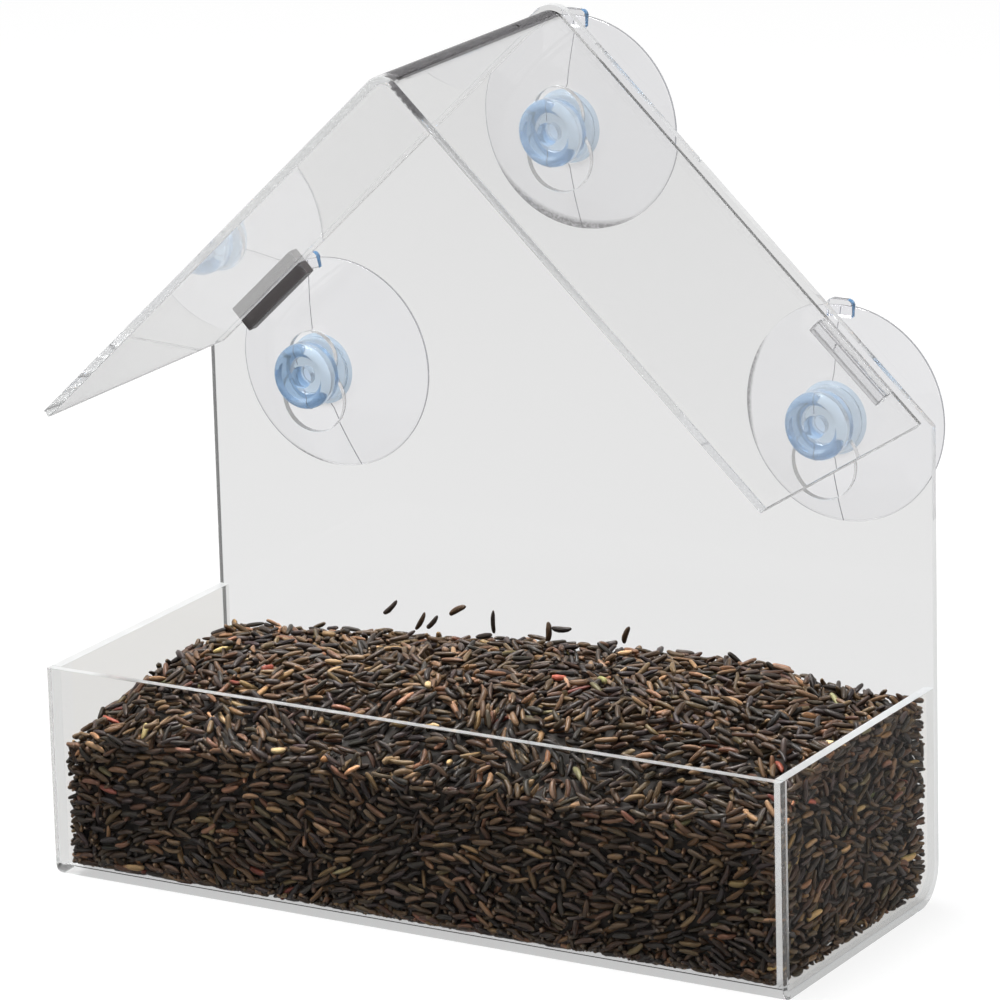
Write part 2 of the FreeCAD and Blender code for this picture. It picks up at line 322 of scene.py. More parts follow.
def painted_shade_core_material():
    """The mass of seed behind the separate ones, near-black as painted shade for the depth of the heap."""
    made = bpy.data.materials.new("shaded_seed_core")
    tree = emptied_tree(made)
    mottle, _ = colour_ramp(tree, noise(tree, 600.0, 4.0), (0.006, 0.005, 0.004), (0.030, 0.022, 0.016))
    husk = add_node(tree, "BsdfPrincipled", Base_Color=mottle, Roughness=0.8)
    add_node(tree, "OutputMaterial", Surface=husk)
    return made


def seen_strength(tree, straight, through, mirrored):
    """The strength with which a ray sees the stage: straight, through clear plastic or from inside a sheet,
    or mirrored. It is 0 for light on its way to a rough surface, also where that passes plastic."""
    light = add_node(tree, "LightPath").outputs
    crossing = light["Is Transmission Ray"]
    single = calculate(tree, "COMPARE", light["Glossy Depth"], 1.0)
    few = calculate(tree, "LESS_THAN", light["Transmission Depth"], MIRROR_CROSSINGS)
    once = calculate(tree, "MULTIPLY", single, few)
    unmirrored = calculate(tree, "MULTIPLY", crossing, calculate(tree, "LESS_THAN", once, 0.5))
    either = calculate(tree, "MAXIMUM", crossing, light["Is Glossy Ray"])
    reflected = calculate(tree, "SUBTRACT", either, unmirrored)
    total = calculate(tree, "MULTIPLY", light["Is Camera Ray"], straight)
    for share, strength in ((unmirrored, through), (reflected, mirrored)):
        total = calculate(tree, "ADD", total, calculate(tree, "MULTIPLY", share, strength))
    clear = calculate(tree, "LESS_THAN", light["Diffuse Depth"], 0.5)
    return calculate(tree, "MULTIPLY", total, clear)


def floor_material():
    """A white table top that keeps the object's shadow. It looks duller through plastic, and mirrored it is
    darker before the object than behind it."""
    made = bpy.data.materials.new("white_floor")
    tree = emptied_tree(made)
    depth = add_node(tree, "SeparateXYZ", place_of(tree)).outputs["Y"]
    near, far = FLOOR_MIRROR_REACH
    dull, bright = FLOOR_MIRROR_GLOW
    mirror = add_node(tree, "MapRange", depth, From_Min=near, From_Max=far, To_Min=dull, To_Max=bright)
    strength = seen_strength(tree, FLOOR_GLOW, FLOOR_THROUGH_GLOW, mirror)
    paper = add_node(tree, "BsdfDiffuse", Color=(FLOOR_GREY, FLOOR_GREY, FLOOR_GREY, 1.0))
    glow = add_node(tree, "Emission", Color=(*WHITE, 1.0), Strength=strength)
    add_node(tree, "OutputMaterial", Surface=add_node(tree, "AddShader", paper, glow))
    return made


def studio_world():
    """A white backdrop that darkens towards the ceiling, and a dim even light for rough surfaces."""
    world = bpy.data.worlds.new("studio")
    tree = emptied_tree(world)
    way = add_node(tree, "TexCoord").outputs["Generated"]
    height = add_node(tree, "SeparateXYZ", way).outputs["Z"]
    ramp, stops = colour_ramp(tree, height, WHITE, (CEILING, CEILING, CEILING))
    for stop, position in zip(stops, BACKDROP_RISE):
        stop.position = position
    strength = seen_strength(tree, 1.0, BACKDROP_THROUGH, 1.0)
    backdrop = add_node(tree, "Background", Color=ramp, Strength=strength)
    ambient = add_node(tree, "Background", Color=(*WHITE, 1.0), Strength=AMBIENT)
    seen = calculate(tree, "GREATER_THAN", strength, 0.0)
    add_node(tree, "OutputWorld", Surface=add_node(tree, "MixShader", seen, ambient, backdrop))
    return world


def add_object(name, data):
    """A scene object for a mesh, a lamp or the camera."""
    made = bpy.data.objects.new(name, data)
    bpy.context.scene.collection.objects.link(made)
    return made


def mesh_object(name, mesh, *materials):
    """A scene object for a mesh, with its materials."""
    for material in materials:
        mesh.materials.append(material)
    return add_object(name, mesh)


def smooth_piece(piece, angle):
    """Smooth shading that keeps edges sharper than the angle, and keeps flat faces flat."""
    piece.data.shade_smooth()
    piece.data.set_sharp_from_angle(angle=angle)
    weights = piece.modifiers.new("flat_faces", "WEIGHTED_NORMAL")
    weights.keep_sharp = True
    weights.weight = 80


def mesh_data(name, mesh):
    """The finished data of a mesh in work."""
    data = bpy.data.meshes.new(name)
    mesh.to_mesh(data)
    mesh.free()
    return data


def closed_mesh(name, mesh):
    """The finished data of a closed mesh, with its faces turned outwards."""
    bmesh.ops.recalc_face_normals(mesh, faces=mesh.faces)
    return mesh_data(name, mesh)


def ease_edges(mesh, edges, width, slot=0):
    """Rounds edges, with the new faces in the slot."""
    bmesh.ops.bevel(mesh, geom=edges, offset=width, segments=2, profile=0.5, affect="EDGES", material=slot)


def left_of(angle):
    """The unit vector a quarter turn left of a heading."""
    return Vector((-math.sin(angle), math.cos(angle)))


def fold(start, heading, runs):
    """A bent sheet's middle line: a function from the distance along it to the point there and its heading.
    Each run is a straight length, the left turn that follows it, and the turn's radius."""
    def at(distance):
        point = Vector(start)
        angle = heading
        for length, turn, radius in runs:
            straight = min(distance, length)
            point = point + straight * Vector((math.cos(angle), math.sin(angle)))
            distance -= straight
            swept = min(distance / radius, turn)
            if swept > 0:
                point = point + radius * (left_of(angle) - left_of(angle + swept))
                angle += swept
                distance -= swept * radius
        return point, angle
    return at


def bend_lines(runs):
    """Distances along a fold at which its bends are divided."""
    lines = []
    here = 0.0
    for length, turn, radius in runs:
        here += length
        if turn:
            lines += [here + radius * turn * step / BEND_STEPS for step in range(BEND_STEPS + 1)]
            here += radius * turn
    return lines


def arc_points(centre, radius, first, last, steps):
    """Points on an arc from the first angle to the last."""
    points = []
    for step in range(steps + 1):
        angle = first + (last - first) * step / steps
        points.append((centre[0] + radius * math.cos(angle), centre[1] + radius * math.sin(angle)))
    return points


def within(loop, point):
    """Whether a point lies inside a closed loop."""
    inside = False
    for (ax, ay), (bx, by) in zip(loop, loop[1:] + loop[:1]):
        if (ay > point.y) != (by > point.y) and point.x < ax + (bx - ax) * (point.y - ay) / (by - ay):
            inside = not inside
    return inside


def edge_slot(face):
    """The slot of a cut edge, by the way it faces. Edges that face left above the walls get the slot for painted
    shade.
    """
    if face.normal.z > FACING:
        return TOP_SLOT
    if face.normal.x < -FACING and face.calc_center_median().z > WALL_TOP:
        return SHADED_LEFT_SLOT
    return EDGE_SLOT


def sheet_mesh(name, loops, creases, place, zone, thickness=SHEET):
    """A sheet cut to the first loop, with the other loops as holes, and bent at the creases.
    place gives the point for a place on the flat sheet and a lift above its middle, and zone gives the slot
    of the upper or lower face at a place. Cut edges and the walls of holes get slots of their own."""
    points = []
    edges = []
    for loop in loops:
        first = len(points)
        points += [Vector(point) for point in loop]
        edges += [(first + i, first + (i + 1) % len(loop)) for i in range(len(loop))]
    for crease in creases:
        edges.append((len(points), len(points) + 1))
        points += [Vector(point) for point in crease]
    flat, _, faces, sources, _, _ = delaunay_2d_cdt(points, edges, [], 1, 1e-7)
    holes = range(len(loops[0]), sum(len(loop) for loop in loops))
    in_hole = [any(source in holes for source in found) for found in sources]
    mesh = bmesh.new()
    lower = [mesh.verts.new(place(*point, -thickness / 2)) for point in flat]
    upper = [mesh.verts.new(place(*point, thickness / 2)) for point in flat]
    sides = {}
    for face in faces:
        middle = sum((flat[i] for i in face), Vector((0.0, 0.0))) / len(face)
        if any(within(hole, middle) for hole in loops[1:]):
            continue
        mesh.faces.new([upper[i] for i in face]).material_index = zone(*middle, True)
        mesh.faces.new([lower[i] for i in reversed(face)]).material_index = zone(*middle, False)
        for a, b in zip(face, face[1:] + face[:1]):
            sides[frozenset((a, b))] = None if frozenset((a, b)) in sides else (a, b)
    rim = []
    for a, b in filter(None, sides.values()):
        wall = mesh.faces.new((upper[b], upper[a], lower[a], lower[b]))
        wall.material_index = HOLE_SLOT if in_hole[a] and in_hole[b] else EDGE_SLOT
        rim += [mesh.edges.get((upper[a], upper[b])), mesh.edges.get((lower[a], lower[b]))]
    loose = [vert for vert in mesh.verts if not vert.link_faces]
    bmesh.ops.delete(mesh, geom=loose, context="VERTS")
    ease_edges(mesh, rim, EDGE_BEVEL, EDGE_SLOT)
    bmesh.ops.recalc_face_normals(mesh, faces=mesh.faces)
    mesh.normal_update()
    for face in mesh.faces:
        if face.material_index == EDGE_SLOT:
            face.material_index = edge_slot(face)
    return mesh_data(name, mesh)


def keyhole_loop(side):
    """A keyhole's outline across the back panel: the seat above, the waist, and the entry below."""
    cup = MOUNTS[side + "_window_cup"]
    rise = JOINTS[side + "_cup_slide"]["range_m"][1]
    seat_z = cup.z + rise + STOP_GAP - (SEAT_RADIUS - NECK_RADIUS)
    seat_angle = math.asin(WAIST_HALF / SEAT_RADIUS)
    entry_angle = math.asin(WAIST_HALF / ENTRY_RADIUS)
    entry_z = seat_z - SEAT_RADIUS * math.cos(seat_angle) - ENTRY_RADIUS * math.cos(entry_angle)
    seat_ends = (seat_angle - QUARTER, 3 * QUARTER - seat_angle)
    entry_ends = (QUARTER + entry_angle, 5 * QUARTER - entry_angle)
    seat = arc_points((cup.x, seat_z), SEAT_RADIUS, *seat_ends, ARC_STEPS)
    entry = arc_points((cup.x, entry_z), ENTRY_RADIUS, *entry_ends, ARC_STEPS)
    return seat[:-1] + entry[:-1]


def body_runs():
    """The bent sheet's straight runs and turns, from the front wall's top to the back panel."""
    front_corner = FRONT_BEND + SHEET
    back_corner = BACK_BEND + SHEET
    return (
        (WALL_TOP - front_corner, QUARTER, FRONT_BEND + SHEET / 2),
        (BACK - FRONT - front_corner - back_corner, QUARTER, BACK_BEND + SHEET / 2),
        (BODY_HIGH.z, 0.0, 1.0),
    )


def body_fold():
    """The bent sheet's middle line, and its length up to the height of the walls on the back panel."""
    runs = body_runs()
    bends = sum(length + turn * radius for length, turn, radius in runs[:2])
    at = fold((FRONT + SHEET / 2, WALL_TOP), -QUARTER, runs)
    return at, bends + WALL_TOP - BACK_BEND - SHEET


def body_sheet():
    """The bent sheet of the front wall, the floor and the house-shaped back panel."""
    at, length = body_fold()
    panel_start = length - WALL_TOP
    wall = body_runs()[0][0]

    def place(across, along, lift):
        point, angle = at(along)
        side = point + lift * left_of(angle)
        return Vector((across, side.x, side.y))

    def zone(across, along, inside):
        if along > panel_start + BACK_BEND + SHEET:
            return BROAD_SLOT
        if inside or along < wall or along > panel_start:
            return ZONE_SLOT
        # the outer face of the front bend and the floor, which carries a painted shade
        return BASE_SLOT

    peak = SHOULDER + HALF_WIDTH * math.tan(SLOPE)
    apex = (0.0, panel_start + peak - APEX_RADIUS / math.cos(SLOPE))
    outline = [(-HALF_WIDTH, 0.0), (HALF_WIDTH, 0.0), (HALF_WIDTH, panel_start + SHOULDER)]
    outline += arc_points(apex, APEX_RADIUS, QUARTER - SLOPE, QUARTER + SLOPE, ARC_STEPS)
    outline += [(-HALF_WIDTH, panel_start + SHOULDER)]
    holes = [[(x, panel_start + z) for x, z in keyhole_loop(side)] for side in SIDES]
    creases = [((-HALF_WIDTH, line), (HALF_WIDTH, line)) for line in bend_lines(body_runs())]
    return sheet_mesh("body_sheet_clear", [outline, *holes], creases, place, zone)


def roof_sheet():
    """The roof, bent at the ridge, with the ridge bend behind its front margin in a slot of its own for painted
    shade.
    """
    middle = RIDGE_BEND + SHEET / 2
    outer = RIDGE_BEND + SHEET
    eave_z = ROOF_LOW.z + SHEET * math.cos(SLOPE)
    length = EAVE_X / math.cos(SLOPE) - outer * math.tan(SLOPE)
    runs = ((length, 2 * SLOPE, middle), (length, 0.0, 1.0))
    heading = math.pi - SLOPE
    start = Vector((EAVE_X, eave_z)) + SHEET / 2 * left_of(heading)
    at = fold(start, heading, runs)
    whole = 2 * length + 2 * SLOPE * middle
    dark_front = ROOF_LOW.y + RIDGE_SETBACK

    def place(along, depth, lift):
        point, angle = at(along)
        section = point + lift * left_of(angle)
        return Vector((section.x, depth, section.y))

    def zone(along, depth, outside):
        in_ridge = abs(along - whole / 2) < RIDGE_SHARE * 2 * SLOPE * middle
        return ZONE_SLOT if in_ridge and depth > dark_front else BROAD_SLOT

    outline = [(0.0, ROOF_LOW.y), (whole, ROOF_LOW.y), (whole, ROOF_HIGH.y), (0.0, ROOF_HIGH.y)]
    lines = bend_lines(runs)
    creases = [((line, ROOF_LOW.y), (line, ROOF_HIGH.y)) for line in lines]
    creases.append(((lines[0], dark_front), (lines[-1], dark_front)))
    return sheet_mesh("roof_sheet_clear", [outline], creases, place, zone)


def end_panel(side, sign):
    """A flat end of the tray, with its lower corners rounded to the bends."""
    low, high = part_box(side + "_end_panel")
    glue = low.z - SHEET
    front = FRONT_BEND - glue
    back = BACK_BEND - glue
    centre = (low.x + high.x) / 2
    post_back = low.y + POST_DEPTH

    def place(across, up, lift):
        return Vector((centre + sign * lift, across, up))

    def zone(across, up, outside):
        return BROAD_SLOT if outside or across > post_back else ZONE_SLOT

    outline = [(low.y, high.z)]
    outline += arc_points((low.y + front, low.z + front), front, 2 * QUARTER, 3 * QUARTER, BEND_STEPS)
    outline += arc_points((high.y - back, low.z + back), back, 3 * QUARTER, 4 * QUARTER, BEND_STEPS)
    outline += [(high.y, high.z)]
    creases = [((post_back, low.z), (post_back, high.z))]
    return sheet_mesh(side + "_end_panel_clear", [outline], creases, place, zone, END_SHEET)


def roof_strip(node):
    """A glue strip with its sharp edges taken off its solid's shape."""
    mesh = bmesh.new()
    mesh.from_mesh(frame["nodes"][node].data)
    bmesh.ops.remove_doubles(mesh, verts=mesh.verts, dist=1e-6)
    bmesh.ops.dissolve_limit(mesh, angle_limit=0.05, verts=mesh.verts, edges=mesh.edges)
    ease_edges(mesh, mesh.edges, STRIP_BEVEL, EDGE_SLOT)
    return closed_mesh(node + "_clear", mesh)


def build_acrylic(materials):
    """All the sheets and strips, each in place of its solid."""
    meshes = {
        "body_sheet": body_sheet(),
        "roof_sheet": roof_sheet(),
        "right_end_panel": end_panel("right", 1.0),
        "left_end_panel": end_panel("left", -1.0),
        "right_roof_strip": roof_strip("right_roof_strip"),
        "left_roof_strip": roof_strip("left_roof_strip"),
    }
    for node, mesh in meshes.items():
        piece = mesh_object(node + "_clear", mesh, *materials[node])
        smooth_piece(piece, SHEET_SMOOTHING)
        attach(piece, "feeder")
        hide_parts(node)


def cup_profile():
    """A cup's half section as (radius, depth) points in millimetres, depth counted from the panel's front
    face to the window, and for each point the slot of the surface that starts there."""
    pilot = [(0.0, 0.30), (1.5, 0.30), (1.8, 0.15), (1.9, -0.20), (1.9, -3.30), (2.1, -3.65), (2.5, -3.75)]
    ring = [(3.9, -3.75), (4.25, -3.85), (4.45, -4.02), (4.7, -4.10)]
    shoulder = arc_points((4.75, -2.65), 1.45, -QUARTER, 0.0, 8)
    neck = [(6.2, -0.80), (6.1, -0.45), (5.8, -0.30), (4.3, -0.30), (3.95, -0.15), (3.8, 0.20), (3.8, 1.35)]
    boss = [(3.95, 1.65), (4.3, 1.80), (5.8, 1.80), (6.1, 1.95), (6.2, 2.25), (6.2, 3.0)]
    dish = []
    for step in range(1, DISH_STEPS + 1):
        share = step / DISH_STEPS
        dish.append((6.2 + 13.25 * share, 3.35 + 0.65 * min(1.0, share * 8) + 4.5 * share**1.35))
    rim = [(19.75, 8.65), (19.93, 8.85), (20.0, 9.1), (19.95, 9.35), (19.8, 9.52), (19.55, 9.6)]
    hollow = []
    for step in range(DISH_STEPS):
        share = 1 - step / DISH_STEPS
        hollow.append((19.2 * share, 6.6 + 2.9 * share**2))
    centre = [(0.0, 6.6)]
    parts = (
        (pilot + ring + shoulder + neck + boss, HEAD_SLOT),
        (dish + rim[:1], DISH_SLOT),
        (rim[1:4], RIM_SLOT),
        (rim[4:] + hollow + centre, DISH_SLOT),
    )
    return [(point, slot) for points, slot in parts for point in points]


def lathe_mesh(name, profile, centre):
    """A closed body turned about an axis along Y through the centre."""
    mesh = bmesh.new()
    rings = []
    for (radius, depth), _ in profile:
        y = PANEL_FRONT + depth * MM
        if radius == 0.0:
            rings.append([mesh.verts.new((centre.x, y, centre.z))] * LATHE_STEPS)
            continue
        ring = []
        for step in range(LATHE_STEPS):
            angle = 2 * math.pi * step / LATHE_STEPS
            across = radius * MM * math.sin(angle)
            up = radius * MM * math.cos(angle)
            ring.append(mesh.verts.new((centre.x + across, y, centre.z + up)))
        rings.append(ring)
    for inner, outer, (_, slot) in zip(rings, rings[1:], profile):
        for step in range(LATHE_STEPS):
            after = (step + 1) % LATHE_STEPS
            corners = dict.fromkeys((inner[step], outer[step], outer[after], inner[after]))
            mesh.faces.new(list(corners)).material_index = slot
    return closed_mesh(name, mesh)


def tab_mesh(name, place):
    """A cup's pull tab. place gives the point for a place across and up, from the cup's axis, and a depth.
    Its narrow right side gets slot 1."""
    middle = TAB_HALF - TAB_ROUNDING
    shoulder = TAB_HIGH - TAB_ROUNDING
    outline = [(-TAB_HALF, TAB_LOW), (TAB_HALF, TAB_LOW)]
    outline += arc_points((middle, shoulder), TAB_ROUNDING, 0.0, QUARTER, 8)
    outline += arc_points((-middle, shoulder), TAB_ROUNDING, QUARTER, 2 * QUARTER, 8)
    mesh = bmesh.new()
    back = [mesh.verts.new(place(*point, TAB_BACK)) for point in outline]
    front = [mesh.verts.new(place(*point, TAB_BACK - TAB_THICKNESS)) for point in outline]
    broad = (mesh.faces.new(front), mesh.faces.new(back))
    for here in range(len(outline)):
        after = (here + 1) % len(outline)
        side = mesh.faces.new((front[here], back[here], back[after], front[after]))
        side.material_index = int(min(outline[here][0], outline[after][0]) >= middle)
    ease_edges(mesh, [edge for face in broad for edge in face.edges], TAB_BEVEL)
    return closed_mesh(name, mesh)


def seam_mesh(name, lines):
    """Thin round beads along lines of points."""
    mesh = bmesh.new()
    for line in lines:
        rings = []
        for k, point in enumerate(line):
            along = (line[min(k + 1, len(line) - 1)] - line[max(k - 1, 0)]).normalized()
            first = along.orthogonal().normalized()
            turns = (Matrix.Rotation(2 * math.pi * i / SEAM_SIDES, 3, along) for i in range(SEAM_SIDES))
            rings.append([mesh.verts.new(point + SEAM_RADIUS * (turn @ first)) for turn in turns])
        for ring, after in zip(rings, rings[1:]):
            turned = min(range(SEAM_SIDES), key=lambda k: (after[k].co - ring[0].co).length)
            after[:] = after[turned:] + after[:turned]
            for k in range(SEAM_SIDES):
                mesh.faces.new((ring[k], ring[k - 1], after[k - 1], after[k]))
        mesh.faces.new(rings[0])
        mesh.faces.new(rings[-1])
    return closed_mesh(name, mesh)


def build_cups(materials, tab_materials, seam_material):
    """The three suction cups, each with its pull tab and the seam that its mould left."""
    profile = cup_profile()
    front = profile[:[slot for _, slot in profile].index(RIM_SLOT)]
    beads = [
        [point for point, slot in front if slot == HEAD_SLOT and point[1] < -2.6 and point[0] > 2.2],
        [point for point, slot in front if slot == DISH_SLOT],
    ]
    for side in SIDES:
        node = side + "_suction_cup"
        centre = MOUNTS[side + "_window_cup"]
        up = Vector((-math.sin(TAB_LEAN[side]), 0.0, math.cos(TAB_LEAN[side])))
        right = Vector((math.cos(TAB_LEAN[side]), 0.0, math.sin(TAB_LEAN[side])))

        def place(across, height, depth):
            point = centre + across * right + height * up
            return Vector((point.x, depth, point.z))

        lines = []
        for bead in beads:
            for sign in (1.0, -1.0):
                lines.append([place(0.0, sign * r * MM, PANEL_FRONT + depth * MM) for r, depth in bead])
        pieces = (
            mesh_object(node + "_soft", lathe_mesh(node + "_soft", profile, centre), *materials[side]),
            mesh_object(node + "_tab", tab_mesh(node + "_tab", place), *tab_materials),
            mesh_object(node + "_seam", seam_mesh(node + "_seam", lines), seam_material),
        )
        for piece in pieces:
            smooth_piece(piece, CUP_SMOOTHING)
            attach(piece, side + "_cup")
        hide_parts(node)


def columns(*parts):
    """Arrays or numbers side by side, as the columns of one array."""
    return np.stack(np.broadcast_arrays(*parts), axis=1)


def unit(rows):
    """Rows of an array, each made one long."""
    return rows / np.maximum(np.linalg.norm(rows, axis=1, keepdims=True), 1e-9)


class Patch:
    """A face of the heap on which seeds settle: a flat sheet of the given size, the way from it into space,
    and the test that a place on it takes seed."""

    def __init__(self, low, high, frame_at, takes):
        self.low = np.array(low)
        self.high = np.array(high)
        self.frame_at = frame_at
        self.takes = takes
        self.shape = np.ceil((self.high - self.low) / CELL).astype(int) + 1
        self.heights = np.zeros(self.shape)

    def cells(self, places):
        """Grid cells of places on the patch, as an index of its heights."""
        found = np.rint((places - self.low) / CELL).astype(int)
        found = np.clip(found, 0, self.shape - 1)
        return found[..., 0], found[..., 1]


def taper_at(share):
    """A seed's thickness at a share of its length, against its thickest."""
    return np.interp(share, SEED_STATIONS, SEED_TAPER)


def draw_size():
    """Length and radius for one seed."""
    length = np.clip(RANDOM.normal(*SEED_LENGTH), SEED_LENGTH[0] * 0.75, SEED_LENGTH[0] * 1.2)
    radius = np.clip(RANDOM.normal(*SEED_RADIUS), SEED_RADIUS[0] * 0.8, SEED_RADIUS[0] * 1.2)
    return length, radius


# Places along a seed and across it at which it may rest on others, and the pairs of them, one in each half
SPAN = np.linspace(-0.5, 0.5, 9)
LATERAL = np.array((-0.6, 0.0, 0.6))
LEFT_HALF = np.append(np.repeat(np.arange(4), 4), 4)
RIGHT_HALF = np.append(np.tile(np.arange(5, 9), 4), 5)
# Finer places for the height that it adds
FINE_SPAN = np.linspace(-0.5, 0.5, 21)
FINE_LATERAL = np.linspace(-0.9, 0.9, 5)


def lay_flat(patch, angles):
    """Drops one seed at the lowest of several tried places. Returns its place, size and direction."""
    length, radius = draw_size()
    centres = RANDOM.uniform(patch.low, patch.high, (TRIES, 2))
    turns = angles(centres)
    along = columns(np.cos(turns), np.sin(turns))
    across = columns(-along[:, 1], along[:, 0])
    line = centres[:, None, :] + SPAN[None, :, None] * length * along[:, None, :]
    points = line[:, :, None, :] + LATERAL[None, None, :, None] * radius * across[:, None, None, :]
    support = patch.heights[patch.cells(points)].max(axis=2) + radius * taper_at(SPAN + 0.5)
    steps = SPAN * length
    left = support[:, LEFT_HALF]
    slopes = (support[:, RIGHT_HALF] - left) / (steps[RIGHT_HALF] - steps[LEFT_HALF])
    rests = left - slopes * steps[LEFT_HALF]
    held = np.arange(TRIES), rests.argmax(axis=1)
    spare = ~(patch.takes(line[:, 0]) & patch.takes(line[:, -1]))
    best = (rests[held] + spare).argmin()
    if spare[best]:
        return None
    rest = rests[held][best]
    slope = np.clip(slopes[held][best], -STEEPEST, STEEPEST)
    spots = centres[best] + FINE_SPAN[:, None, None] * length * along[best]
    spots = spots + FINE_LATERAL[None, :, None] * radius * across[best]
    tops = (rest + slope * FINE_SPAN * length)[:, None]
    tops = tops + radius * taper_at(FINE_SPAN + 0.5)[:, None] * np.sqrt(1 - FINE_LATERAL**2)[None, :]
    np.maximum.at(patch.heights, patch.cells(spots), tops)
    direction = np.array((*along[best], slope))
    return np.array((*centres[best], rest)), direction / np.linalg.norm(direction), length, radius


def stand_up(patch, lean):
    """Pushes one seed end-on into the deepest of several tried gaps."""
    length, radius = draw_size()
    places = RANDOM.uniform(patch.low, patch.high, (TRIES * 3, 2))
    depth = patch.heights[patch.cells(places)] + ~patch.takes(places)
    best = depth.argmin()
    if depth[best] >= 1.0:
        return None
    direction = np.array((*RANDOM.normal(0.0, lean, 2), 1.0))
    direction /= np.linalg.norm(direction)
    offsets = np.array([(a, b) for a in range(-2, 3) for b in range(-2, 3)]) * CELL
    patch.heights[patch.cells(places[best] + offsets)] = depth[best] + length * direction[2]
    tip = np.array((*places[best], depth[best] + 0.2 * radius))
    return tip + direction * length / 2, direction, length, radius


def fill_patch(patch, layers):
    """Lays the layers of seed on a patch. Each layer is a count, the way a seed is laid and its setting.
    Returns the seeds' centres, directions, facing and sizes in space."""
    laid = []
    for count, way, setting in layers:
        tried = [way(patch, setting) for _ in range(count)]
        laid += [seed for seed in tried if seed is not None]
    spots = np.array([seed[0] for seed in laid])
    headings = np.array([seed[1] for seed in laid])
    sizes = np.array([seed[2:] for seed in laid])
    origin, first, second, out = patch.frame_at(spots[:, 0], spots[:, 1])
    centres = origin + out * spots[:, 2:3]
    directions = first * headings[:, 0:1] + second * headings[:, 1:2] + out * headings[:, 2:3]
    return centres, directions, out, sizes


def inside_tray(centres, directions, sizes):
    """Seeds moved so that both their ends stay within the tray's walls and its rounded lower corners."""
    front = TRAY_FRONT + WALL_GAP
    back = PANEL_FRONT - WALL_GAP
    floor = SHEET + WALL_GAP
    margin = sizes[:, 1] * SEED_END_RADIUS
    for reach in (-SEED_END, SEED_END) * 2:
        ends = centres + reach * directions * sizes[:, 0:1]
        held = columns(
            np.clip(ends[:, 0], -REACH + margin, REACH - margin),
            np.clip(ends[:, 1], front + margin, back - margin),
            np.maximum(ends[:, 2], floor + margin),
        )
        push = held - ends
        centres = centres + push
        ends = ends + push
        bend = np.where(ends[:, 1] < 0.0, CORNER_GAP, BACK_BEND)
        corner_y = np.clip(ends[:, 1], front + CORNER_GAP, back - BACK_BEND)
        corner_z = np.maximum(ends[:, 2], floor + bend)
        away = columns(ends[:, 1] - corner_y, ends[:, 2] - corner_z)
        distance = np.linalg.norm(away, axis=1)
        excess = np.maximum(distance - (bend - margin), 0.0)
        centres[:, 1:] -= away / np.maximum(distance, 1e-9)[:, None] * excess[:, None]
    return centres


def seed_shapes():
    """Several seeds as vertex arrays, lying along X: slender, slightly bowed, blunt at one end, with soft
    ribs. Length and thickness are 1, and are set when a seed is placed."""
    turns = np.arange(SEED_SIDES) * 2 * math.pi / SEED_SIDES
    shapes = []
    for _ in range(SEED_KINDS):
        wobble = 1 + RANDOM.normal(0.0, 0.05, (len(SEED_STATIONS), SEED_SIDES))
        flat = RANDOM.uniform(0.78, 1.0)
        bow = RANDOM.uniform(0.0, 1.0) * 4 * SEED_STATIONS * (1 - SEED_STATIONS)
        rings = np.zeros((len(SEED_STATIONS), SEED_SIDES, 4))
        rings[..., 0] = SEED_STATIONS[:, None] - 0.5
        rings[..., 1] = SEED_TAPER[:, None] * np.cos(turns) * wobble
        rings[..., 2] = SEED_TAPER[:, None] * np.sin(turns) * wobble * flat
        rings[..., 3] = bow[:, None]
        ends = [(tip, 0.0, 0.0, 0.0) for tip in SEED_TIPS]
        shapes.append(np.concatenate((rings.reshape(-1, 4), ends)))
    return np.array(shapes)


def seed_faces():
    """Corner lists of one seed's faces."""
    faces = []
    tips = len(SEED_STATIONS) * SEED_SIDES
    last = tips - SEED_SIDES
    for side in range(SEED_SIDES):
        after = (side + 1) % SEED_SIDES
        for low in range(0, last, SEED_SIDES):
            high = low + SEED_SIDES
            faces.append((low + after, low + side, high + side, high + after))
        faces.append((tips, side, after))
        faces.append((tips + 1, last + after, last + side))
    return faces


def seed_mesh(name, shapes, centres, directions, facing, sizes, husks=None):
    """One mesh of many seeds, of the given husk colours or of drawn ones. Their bow stays roughly along the
    face that they lie on."""
    count = len(centres)
    sideways = unit(np.cross(facing, directions))
    upward = np.cross(directions, sideways)
    roll = RANDOM.uniform(-0.6, 0.6, count) + math.pi * RANDOM.integers(0, 2, count)
    second = sideways * np.cos(roll)[:, None] + upward * np.sin(roll)[:, None]
    third = np.cross(directions, second)
    forms = shapes[RANDOM.integers(0, len(shapes), count)]
    length = sizes[:, 0, None, None]
    radius = sizes[:, 1, None, None]
    points = centres[:, None, :] + forms[..., 0:1] * length * directions[:, None, :]
    across = forms[..., 1:2] * radius + (forms[..., 3:4] - 0.5) * SEED_BOW
    points = points + across * second[:, None, :] + forms[..., 2:3] * radius * third[:, None, :]
    if husks is None:
        husks = drawn_husks(count)
    return joined_mesh(name, points, seed_faces(), seed_colours(husks, forms))


def drawn_husks(count):
    """A husk colour for each seed."""
    palette = np.array([colour for colour, _ in HUSK_COLOURS])
    shares = np.array([share for _, share in HUSK_COLOURS])
    picked = palette[RANDOM.choice(len(palette), count, p=shares / shares.sum())]
    return picked * RANDOM.lognormal(0.0, 0.28, (count, 1)) * (1 + RANDOM.normal(0.0, 0.06, (count, 3)))


